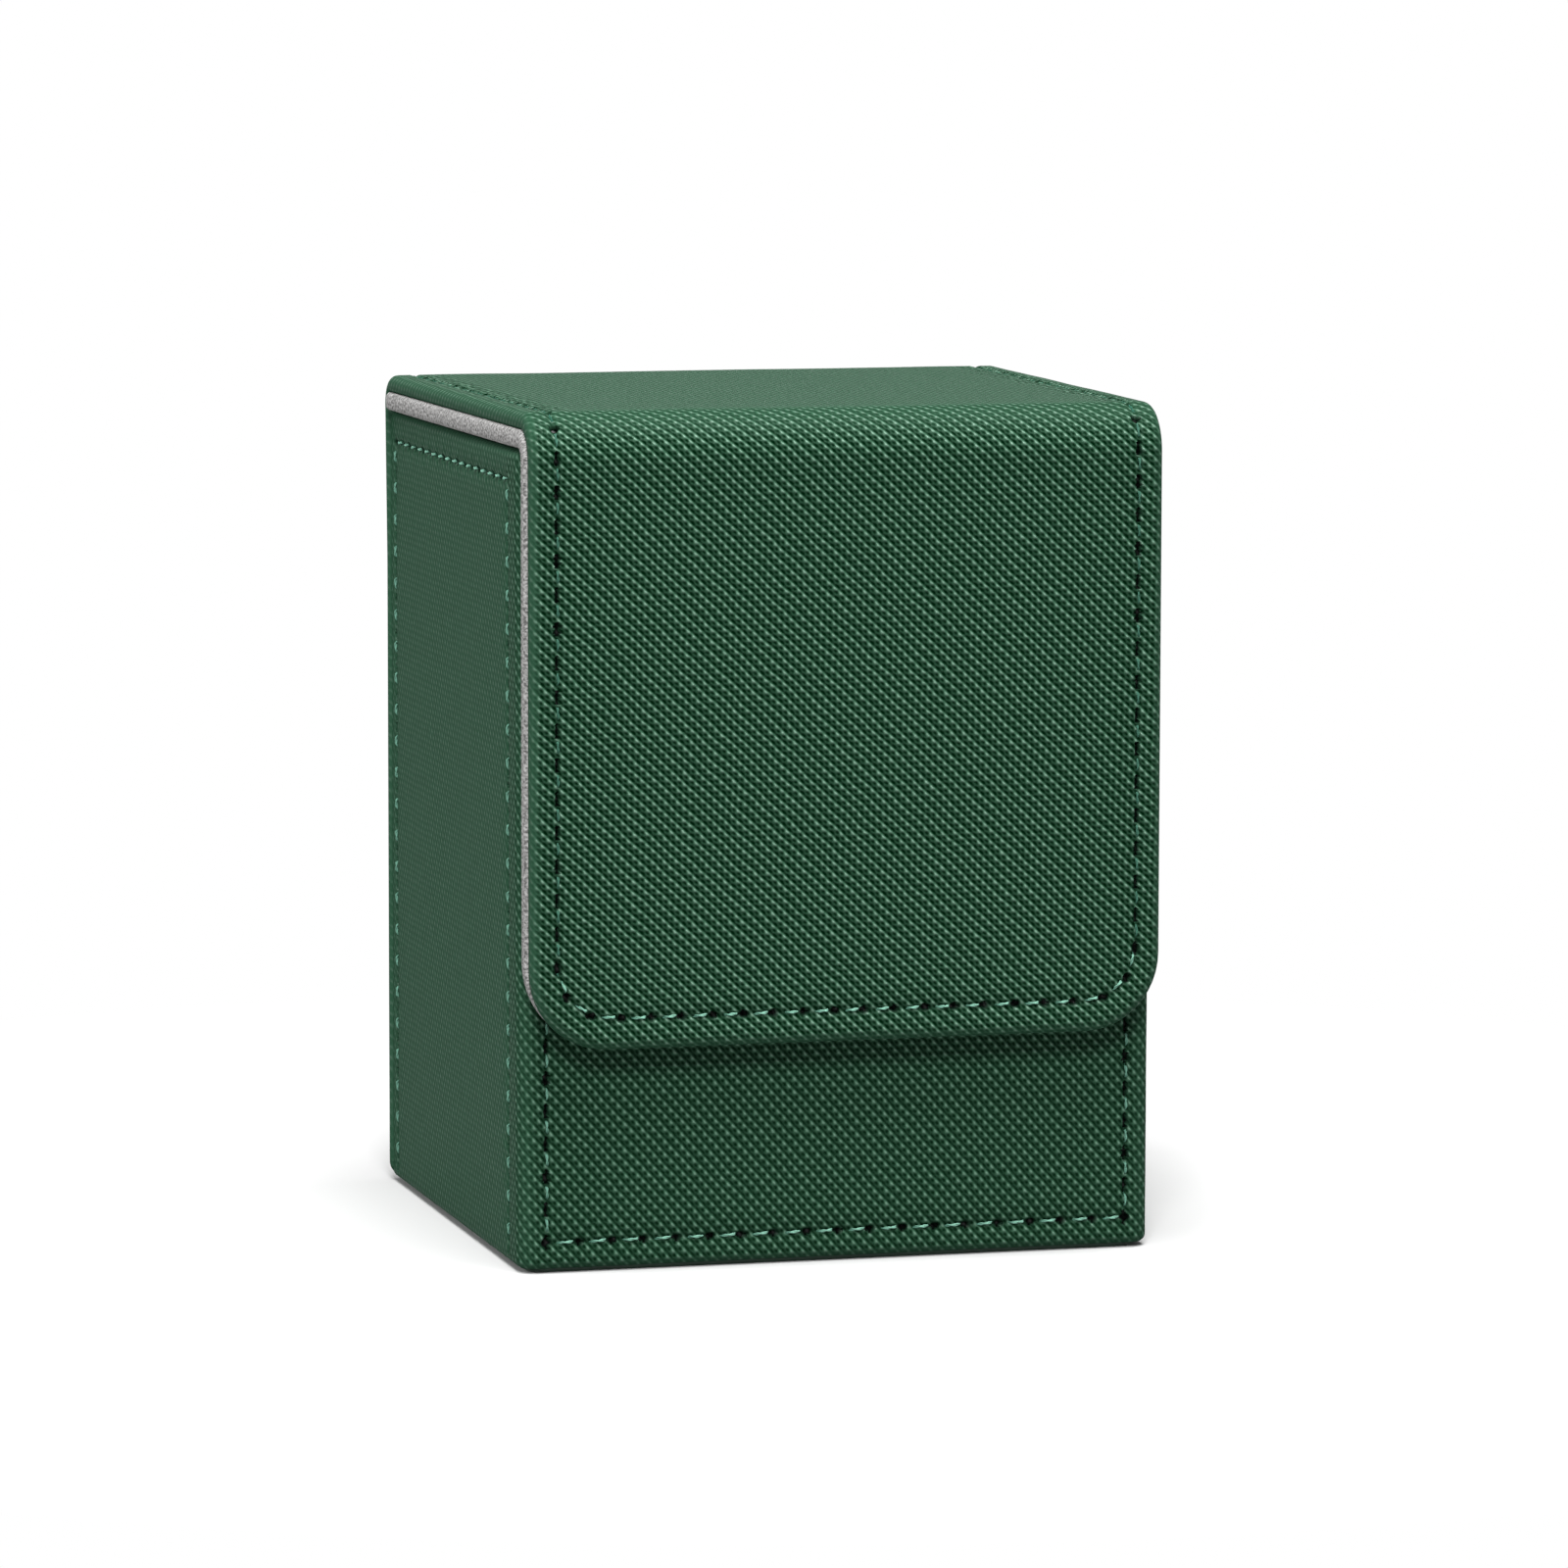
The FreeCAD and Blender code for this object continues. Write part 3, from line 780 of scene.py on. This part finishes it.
class Shader:
    """The node tree of a material or world, built a node at a time."""

    def __init__(self, owner):
        owner.use_nodes = True
        self.owner = owner
        self.nodes = owner.node_tree.nodes
        self.links = owner.node_tree.links
        self.nodes.clear()

    def add(self, kind, inputs=None, **settings):
        """A node with these settings. Its inputs are values or other nodes' outputs."""
        node = self.nodes.new(kind)
        for name, value in settings.items():
            setattr(node, name, value)
        for key, value in (inputs or {}).items():
            if isinstance(value, bpy.types.NodeSocket):
                self.links.new(value, node.inputs[key])
            else:
                node.inputs[key].default_value = value
        return node

    def calc(self, operation, *values):
        return self.add("ShaderNodeMath", dict(enumerate(values)), operation=operation).outputs[0]

    def scaled(self, value, by, plus):
        """value times one number, plus another."""
        return self.calc("ADD", self.calc("MULTIPLY", value, by), plus)

    def noise(self, where, scale, detail=2.0):
        inputs = {"Vector": where, "Scale": scale, "Detail": detail}
        return self.add("ShaderNodeTexNoise", inputs).outputs["Fac"]

    def ramp(self, value, low, high):
        """value mapped from low..high to 0..1 and held there."""
        inputs = {"Value": value, "From Min": low, "From Max": high}
        return self.add("ShaderNodeMapRange", inputs).outputs["Result"]

    def mix(self, share, first, second):
        """A blend of two colours, which are the node's sockets 6 and 7 and its output 2."""
        ends = [c if isinstance(c, bpy.types.NodeSocket) else (*c, 1) for c in (first, second)]
        inputs = {0: share, 6: ends[0], 7: ends[1]}
        return self.add("ShaderNodeMix", inputs, data_type="RGBA").outputs[2]

    def on_sheet(self):
        return self.add("ShaderNodeUVMap", uv_map="sheet").outputs["UV"]

    def attribute(self, name):
        return self.add("ShaderNodeAttribute", attribute_name=name).outputs["Fac"]

    def bump(self, height, distance):
        inputs = {"Height": height, "Distance": distance, "Strength": 1.0}
        return self.add("ShaderNodeBump", inputs).outputs["Normal"]

    def seen(self):
        """1 for a ray from the camera, off a gloss or through glass, and 0 for the others."""
        rays = self.add("ShaderNodeLightPath").outputs
        either = self.calc("MAXIMUM", rays["Is Camera Ray"], rays["Is Glossy Ray"])
        return self.calc("MAXIMUM", either, rays["Is Transmission Ray"])

    def blend(self, share, first, second, output):
        """A blend of two shader nodes, as the tree's surface."""
        inputs = {0: share, 1: first.outputs[0], 2: second.outputs[0]}
        mixed = self.add("ShaderNodeMixShader", inputs)
        self.add(output, {"Surface": mixed.outputs[0]})

    def finish(self, **inputs):
        """The material, from its surface shader's inputs by name."""
        named = {key.replace("_", " "): value for key, value in inputs.items()}
        surface = self.add("ShaderNodeBsdfPrincipled", named)
        self.add("ShaderNodeOutputMaterial", {"Surface": surface.outputs[0]})
        return self.owner


EMBOSS_DEPTH = 0.25
DEGREE = math.pi / 180
LEATHER_IOR = 1.02


def faux_leather(name, across, along, level, strength):
    """Dark green sheet, pressed with slanting ridges that carry a row of pips each, with
    highlights painted on the pips and shade painted in the hollows between them.

    across and along are the pattern's two frequencies, in waves per millimetre, level is its
    mean height, and strength holds how high its ridges, the fine ridges between them, its
    cross rows and its pips stand.
    """
    s = Shader(bpy.data.materials.new(name))
    where = s.on_sheet()
    wander = s.add("ShaderNodeTexNoise", {"Vector": where, "Scale": 0.3, "Detail": 1.0})
    inputs = {0: wander.outputs["Color"], 1: (0.35, 0.35, 0), 2: where}
    moved = s.add("ShaderNodeVectorMath", inputs, operation="MULTIPLY_ADD")
    axes = s.add("ShaderNodeSeparateXYZ", {0: moved.outputs[0]}).outputs
    waves = []
    for x, y in (across, along):
        part = s.calc("MULTIPLY", axes[1], 2 * math.pi * y)
        waves.append(s.scaled(axes[0], 2 * math.pi * x, part))
    ridge = s.calc("ADD", *waves)
    cross = s.calc("SUBTRACT", *waves)

    def wave(angle, times, lag):
        """The cosine of a multiple of an angle, less a lag in degrees."""
        return s.calc("COSINE", s.calc("SUBTRACT", s.calc("MULTIPLY", angle, times), lag * DEGREE))

    pips = s.calc("MULTIPLY", wave(ridge, 1, -32), wave(cross, 1, 13))
    shapes = (wave(ridge, 1, 0), wave(ridge, 2, 45), wave(cross, 1, 0), pips)
    pressed = level
    for shape, height in zip(shapes, strength):
        pressed = s.scaled(shape, height, pressed)
    fine = s.noise(where, 5.0)
    wear = s.noise(where, 0.6, 3.0)
    pressed = s.calc("MULTIPLY", pressed, s.scaled(wear, 0.4, 0.8))
    pressed = s.scaled(s.calc("SUBTRACT", fine, 0.5), 0.22, pressed)
    # Painted light and shade: the colour runs from near black painted shade in the hollows,
    # through the sheet's green, to a pale whitish painted highlight on the pips' tops.
    lit = s.calc("POWER", s.ramp(pressed, 0.0, 1.0), 1.7)
    painted_light_and_shade = s.mix(s.ramp(lit, 0.0, 0.28), (0.0001, 0.0100, 0.0025), (0.031, 0.088, 0.051))
    painted_light_and_shade = s.mix(s.ramp(lit, 0.28, 1.0), painted_light_and_shade, (0.172, 0.300, 0.222))
    smoothed = s.mix(s.ramp(wear, 0.3, 0.7), (0.021, 0.064, 0.036), (0.026, 0.073, 0.043))
    colour = s.mix(s.attribute("emboss"), smoothed, painted_light_and_shade)
    # Painted shade: the inside of each needle hole is darkened to near black.
    colour = s.mix(s.attribute("hole_shade"), colour, (0.0004, 0.001, 0.0007))
    height = s.calc("MULTIPLY", s.ramp(pressed, 0.0, 1.0), s.attribute("emboss"))
    normal = s.bump(height, EMBOSS_DEPTH * MM)
    return s.finish(
        Base_Color=colour,
        Roughness=s.scaled(wear, 0.12, 0.34),
        IOR=LEATHER_IOR,
        Normal=normal,
        Coat_Weight=s.calc("MULTIPLY", lit, 0.22),
        Coat_Roughness=0.32,
        Coat_IOR=2.0,
        Coat_Normal=normal,
    )


def microfibre():
    """Brushed light grey lining."""
    s = Shader(bpy.data.materials.new("grey_lining"))
    where = s.on_sheet()
    patches = s.noise(where, 0.45, 3.0)
    nap = s.noise(where, 2.5, 3.0)
    tone = s.scaled(patches, 0.12, s.calc("MULTIPLY", nap, 0.88))
    colour = s.mix(s.ramp(tone, 0.39, 0.61), (0.105, 0.104, 0.102), (0.385, 0.38, 0.375))
    return s.finish(
        Base_Color=colour,
        Roughness=0.95,
        Specular_IOR_Level=0.05,
        Normal=s.bump(nap, 0.12 * MM),
    )


def sewing_thread():
    """Green polyester, its fibres running along each ply."""
    s = Shader(bpy.data.materials.new("green_thread"))
    where = s.on_sheet()
    stretched = s.add("ShaderNodeMapping", {"Vector": where, "Scale": (2.4, 0.9, 1)})
    fibres = s.noise(stretched.outputs[0], 2.0)
    colour = s.mix(s.ramp(fibres, 0.3, 0.7), (0.009, 0.052, 0.033), (0.042, 0.140, 0.095))
    # Painted highlight: the risen top of each stitch is painted a pale green.
    colour = s.mix(s.attribute("crown"), colour, (0.210, 0.430, 0.330))
    return s.finish(
        Base_Color=colour,
        Roughness=0.7,
        Specular_IOR_Level=0.05,
        Normal=s.bump(fibres, 0.04 * MM),
    )


def plain(name, dark, light, scale, roughness, depth, metallic=0.0):
    """A hard surface with a fine uneven grain, placed by the object's own coordinates."""
    s = Shader(bpy.data.materials.new(name))
    where = s.add("ShaderNodeTexCoord").outputs["Object"]
    grain = s.noise(where, scale, 4.0)
    blotch = s.noise(where, scale * 0.12)
    tone = s.calc("MULTIPLY", s.calc("ADD", grain, blotch), 0.5)
    return s.finish(
        Base_Color=s.mix(s.ramp(tone, 0.3, 0.7), dark, light),
        Roughness=roughness,
        Metallic=metallic,
        Normal=s.bump(grain, depth * MM),
    )


green_cover = faux_leather(
    "green_cover", (0.660, -0.014), (-0.021, 0.702), 0.335, (0.235, 0.145, 0.07, 0.20)
)
tray_green = faux_leather(
    "tray_green", (0.702, 0.014), (0.0, 0.634), 0.320, (0.175, 0.095, 0.10, 0.15)
)
grey_lining = microfibre()
green_thread = sewing_thread()
grey_board = plain("grey_board", (0.22, 0.215, 0.20), (0.36, 0.35, 0.33), 900, 0.9, 0.05)
nickel = plain("magnet", (0.50, 0.50, 0.51), (0.66, 0.66, 0.67), 1500, 0.28, 0.004, 1.0)
base_green = plain("base_sheet", (0.006, 0.030, 0.016), (0.022, 0.070, 0.040), 1300, 0.5, 0.06)
floor_lining = plain("floor_lining", (0.20, 0.19, 0.195), (0.42, 0.40, 0.41), 1800, 0.95, 0.1)

# ---- the pieces


# The two halves of each fold, each between two bodies. Angles are in degrees from +Y to +Z.
Fold = namedtuple("Fold", "node half start end angles between")
FOLDS = [
    Fold("front_fold", "a", front_middle, at_top, (90, 135), ("lid_top", "front_fold")),
    Fold("front_fold", "b", at_front_fold, front_middle, (135, 180), ("front_fold", "flap")),
    Fold("rear_fold", "a", at_rear_fold, rear_middle, (45, 90), ("rear_fold", "lid_top")),
    Fold("rear_fold", "b", rear_middle, at_back, (0, 45), ("tray", "rear_fold")),
]


def settle(piece, body, slot, *nodes):
    """Puts a finished piece on its body."""
    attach(piece, body)
    if nodes:
        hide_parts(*nodes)


def bend(piece, fold, depth, slot, *nodes):
    """Keeps a finished piece fixed where it was made, and hides the nodes it replaces. The fold
    and the depth below the cover's back are not used.
    """
    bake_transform(piece)
    if nodes:
        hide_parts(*nodes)


def rear_shell(levels):
    """The edge's thickness round the rear fold: the lid's, narrowing to the back's."""
    share = (levels - at_rear_fold) / (rear_middle - at_rear_fold)
    return lid_shell + (back_shell - lid_shell) * smooth(share)


def cover_piece(name, edges, shell, step=GRID):
    """A stretch of the case strip's cover, its edges turned in round a shell that thick."""
    section = turned_section(shell)
    return strip_piece(name, strip_place, edges, section, strip_seams, green_cover, step)


def case_cover():
    """The case strip's cover, from the flap's end to the foot of the back."""
    edge = edge_round(strip_half, at_front_fold, 0, FLAP_CORNER)
    settle(cover_piece("flap_skin", [edge], lid_shell), "flap", "green_cover", "flap_cover")
    edges = edge_sides(strip_half, at_top, at_rear_fold)
    settle(cover_piece("top_skin", edges, lid_shell), "lid_top", "green_cover", "top_cover")
    edge = edge_round(strip_half, at_back, strip_end, BACK_CORNER)
    settle(cover_piece("back_skin", [edge], back_shell), "tray", "green_cover", "back_cover")
    for fold in FOLDS:
        edges = edge_sides(strip_half, fold.start, fold.end, FOLD_GRID)
        shell = lid_shell if fold.node == "front_fold" else rear_shell(edges[0][0][:, 1])
        piece = cover_piece(f"{fold.node}_skin_{fold.half}", edges, shell, FOLD_GRID)
        bend(piece, fold, 0, "green_cover", fold.node + "_cover")


def pad_piece(name, place, edges, step=GRID):
    """A stretch of the lid's lining pad, seen from its soft side."""
    place = inward(place, lid_shell + pad_thickness)
    return strip_piece(name, place, edges, pad_section(), [], grey_lining, step)


def case_linings():
    """The lid's pads, the scored board inside the front fold and the strip inside the rear one."""
    edge = edge_round(pad_half, at_front_fold, 0, FLAP_CORNER + 1)
    flap = pad_piece("flap_pad", strip_place, [edge])
    settle(flap, "flap", "grey_lining", "flap_lining")
    edge = edge_round(pad_half, at_top, at_rear_fold + pad_tail, 1.0)
    top = pad_piece("top_pad", top_place, [edge])
    settle(top, "lid_top", "grey_lining", "top_lining")
    for fold in FOLDS:
        if fold.node == "front_fold":
            edges = edge_sides(pad_half, fold.start, fold.end, FOLD_GRID)
            pad = pad_piece(f"front_fold_pad_{fold.half}", strip_place, edges, FOLD_GRID)
            bend(pad, fold, pad_thickness, "grey_lining", "front_fold_lining")
            name = f"front_fold_board_{fold.half}"
            board = slab(name, fold, fold_board_half, lid_shell - SKIVED_SKIN, grey_board)
            bend(board, fold, -SKIVED_SKIN, "grey_board", "front_fold_board")
        else:
            name = f"rear_fold_liner_{fold.half}"
            liner = slab(name, fold, card_half, back_shell, grey_lining)
            bend(liner, fold, 0, "grey_lining", "rear_fold_lining")


def tray_columns():
    """Places round the tray's walls: closer together at the corners."""
    flat = half_width - TRAY_CORNER
    front = list(spaced(0, flat))[1:-1]
    corner = list(np.linspace(flat, corner_end, CORNER_STEPS + 1))
    board_u = side_u(back_board_low[1])
    half = front + corner + list(spaced(corner_end, board_u))[1:] + [board_u + 1.1, side_end]
    return [-u for u in half[::-1]] + [0.0] + half


def side_pressing(places):
    """The pattern is softer round the tray's corners, and almost flat behind the side seams."""
    out = np.abs(places[:, 0])
    corner = smooth((out - half_width + TRAY_CORNER) / 1.5)
    behind = smooth((out - side_near + 0.3) / 0.8)
    return 1 - (1 - CORNER_EMBOSS) * corner - (CORNER_EMBOSS - SIDE_EMBOSS) * behind


def tray_cover():
    """One sheet round the tray's front and sides, turned in at the rim and under the foot."""
    sheet = Sheet(tray_place, side_pressing)
    columns = tray_columns()
    low, high = foot + RIM_ROLL, rim - RIM_ROLL
    levels = list(spaced(low, high))
    loop = [(u, low) for u in columns] + [(columns[-1], v) for v in levels[1:-1]]
    loop += [(u, high) for u in columns[::-1]] + [(columns[0], v) for v in levels[-2:0:-1]]
    seams = [seam for name in tray_seams for seam in tray_seams[name]]
    sheet.face(loop, seams, columns, levels)
    outer_roll = roll_section(RIM_ROLL)
    length = RIM_ROLL * QUARTER + wall - 2 * RIM_ROLL
    rim_section = outer_roll + [
        (down, wall - across, length + along) for across, down, along in outer_roll
    ]
    length += RIM_ROLL * QUARTER
    rim_section += [
        (turn_in, wall, length + turn_in),
        (turn_in, wall - SKIN, length + turn_in),
        (SKIN, wall - SKIN, length + 2 * turn_in),
        (SKIN, SKIN, length + 2 * turn_in),
    ]
    length = RIM_ROLL * QUARTER + TURNED_EDGE
    foot_section = outer_roll + [
        (0, TURNED_EDGE, length),
        (SKIVED_SKIN, TURNED_EDGE, length),
        (SKIVED_SKIN, SKIN, length + TURNED_EDGE),
    ]
    rings = []
    for level, toward, section in ((rim, 1, rim_section), (foot, -1, foot_section)):
        base = np.array([(u, level) for u in columns])
        normal = np.array([(0.0, toward)] * len(columns))
        rings.append(sheet.band((base, normal), section))
    sheet.bridge(rings)
    settle(sheet.build("tray_skin", tray_green), "tray", "green_cover", "tray_cover")


def tray_linings():
    """The soft lining of the well: round three walls, and up the back and over its rim."""
    top = rim - turn_in
    low = back_lining_low[2]
    face = wall + LINER_PROUD
    walls = tube(
        "tray_liner",
        inward(tray_place),
        tray_columns(),
        [
            (low, wall - SKIN), (top - 0.05, wall - SKIN), (top - 0.05, wall + 0.02),
            (top + 0.6, wall + 0.02), (top + 0.75, wall + 0.1), (top + 0.7, face),
            (top + 0.4, face + 0.05), (top - 2, face), (low, face),
        ],
        grey_lining,
    )
    nodes = [f"tray_{side}_lining" for side in ("front", "left", "right")]
    settle(walls, "tray", "grey_lining", *nodes)

    half = half_width - face
    board_y = back_board_low[1]
    cap_z = back_board_high[2]

    def over_rim(x, y, z):
        """Beyond the well's width only the part over the back board remains."""
        x, y, z = np.broadcast_arrays(np.asarray(x, float), y, z)
        beyond = np.abs(x) > half + 1e-4
        y = np.where(beyond, np.maximum(y, board_y), y)
        return np.stack([x, y, np.where(beyond, np.maximum(z, cap_z), z)], -1)

    inner_y = back_lining_low[1]
    seat = tray_back - 0.05
    profile = [(inner_y, low)]
    profile += [(inner_y + down, rim - across) for across, down, _ in roll_section(LINER_NOSE)]
    profile += [(seat - across, rim + down) for across, down, _ in roll_section(LINER_COVE)]
    profile += [
        (seat, back_high[2]), (tray_back, back_high[2]), (tray_back, cap_z),
        (board_y, cap_z), (board_y, low),
    ]
    wide = back_board_high[0]
    stations = [-wide, -half - 0.01] + list(spaced(-half, half)) + [half + 0.01, wide]
    back = tube("tray_back_liner", over_rim, stations, profile, grey_lining)
    settle(back, "tray", "grey_lining", "tray_back_lining")


def threads():
    """Every row of stitches, each on the piece it is sewn through."""
    for name, seams in tray_seams.items():
        row = thread(f"tray_{name}_thread", tray_place, seams)
        settle(row, "tray", "green_thread", f"tray_{name}_stitching")
    for name, body, low, high in (
        ("flap", "flap", -1.0, at_front_fold),
        ("top", "lid_top", at_top, at_rear_fold),
        ("back", "tray", at_back, strip_end + 1),
    ):
        row = thread(f"{name}_thread", strip_place, strip_seams, low, high)
        settle(row, body, "green_thread", f"{name}_stitching")
    for fold in FOLDS:
        name = f"{fold.node}_thread_{fold.half}"
        row = thread(name, strip_place, strip_seams, fold.start, fold.end)
        bend(row, fold, 0, "green_thread")


case_cover()
case_linings()
tray_cover()
tray_linings()
threads()

finishes = {"grey_board": grey_board, "magnet": nickel, "base_sheet": base_green}
for row in frame["record"]["subparts"]:
    piece, slot = frame["nodes"][row["node"]], row["material_slot"]
    material = floor_lining if row["node"] == "tray_bottom_lining" else finishes.get(slot)
    if material:
        piece.data.materials.clear()
        piece.data.materials.append(material)

# ---- floor, light and camera

WHITE = (1.0, 1.0, 1.0)
WORLD_LIGHT = 0.24
# How pale the floor is to the light it gives back, and to the eye
UNSEEN_FLOOR = (0.30, 0.30, 0.30)
SEEN_FLOOR = (0.58, 0.58, 0.58)
# The stretch, in metres from the middle, over which it fades into the background
FLOOR_FADE = (0.06, 0.2)


def floor():
    """A white floor that takes the shadow near the box and fades into the background."""
    s = Shader(bpy.data.materials.new("floor_white"))
    where = s.add("ShaderNodeTexCoord").outputs["Object"]
    far = s.add("ShaderNodeVectorMath", {0: where}, operation="LENGTH").outputs["Value"]
    seen = s.seen()
    matt = s.add("ShaderNodeBsdfDiffuse", {"Color": s.mix(seen, UNSEEN_FLOOR, SEEN_FLOOR)})
    white = s.add("ShaderNodeEmission", {"Color": (*WHITE, 1)})
    share = s.calc("MULTIPLY", seen, s.ramp(far, *FLOOR_FADE))
    s.blend(share, matt, white, "ShaderNodeOutputMaterial")
    bpy.ops.mesh.primitive_circle_add(vertices=96, radius=4, fill_type="NGON")
    disc = bpy.context.object
    disc.name = "floor"
    disc.data.materials.append(s.owner)
    return disc


def world():
    """Plain light from all round, and a white background."""
    studio = bpy.data.worlds.new("studio")
    bpy.context.scene.world = studio
    s = Shader(studio)
    light = s.add("ShaderNodeBackground", {"Color": (*WHITE, 1), "Strength": WORLD_LIGHT})
    white = s.add("ShaderNodeBackground", {"Color": (*WHITE, 1)})
    s.blend(s.seen(), light, white, "ShaderNodeOutputWorld")


def area_light(name, place, size, power):
    """A soft square light that faces the box."""
    data = bpy.data.lights.new(name, "AREA")
    data.shape = "SQUARE"
    data.size = size
    data.energy = power
    lamp = bpy.data.objects.new(name, data)
    bpy.context.scene.collection.objects.link(lamp)
    lamp.location = place
    aim = Vector((0, 0, 0.05)) - Vector(place)
    lamp.rotation_euler = aim.to_track_quat("-Z", "Y").to_euler()
    lamp.visible_camera = False
    return lamp


def camera():
    """The photographer's place, found from the box's straight edges."""
    azimuth, elevation, roll = (math.radians(angle) for angle in (15.148, 6.708, 0.112))
    data = bpy.data.cameras.new("camera")
    data.lens = 182.742
    data.sensor_width = 36
    data.clip_start = 0.01
    data.clip_end = 100
    eye = bpy.data.objects.new("camera", data)
    turn = Matrix.Rotation(-azimuth, 4, "Z") @ Matrix.Rotation(QUARTER - elevation, 4, "X")
    target = Matrix.Translation((0.002672, 0.0, 0.054656))
    away = Matrix.Translation((0, 0, 1.003287))
    eye.matrix_world = target @ turn @ Matrix.Rotation(roll, 4, "Z") @ away
    bpy.context.scene.collection.objects.link(eye)
    bpy.context.scene.camera = eye


bpy.context.scene.view_settings.view_transform = "Standard"
world()
camera()
floor()
area_light("key", (-0.3, -1.1, 0.95), 0.35, 16)
area_light("side", (-0.6, -0.03, 0.3), 0.25, 1.5)
area_light("top", (0.0, -0.3, 1.4), 0.8, 33)
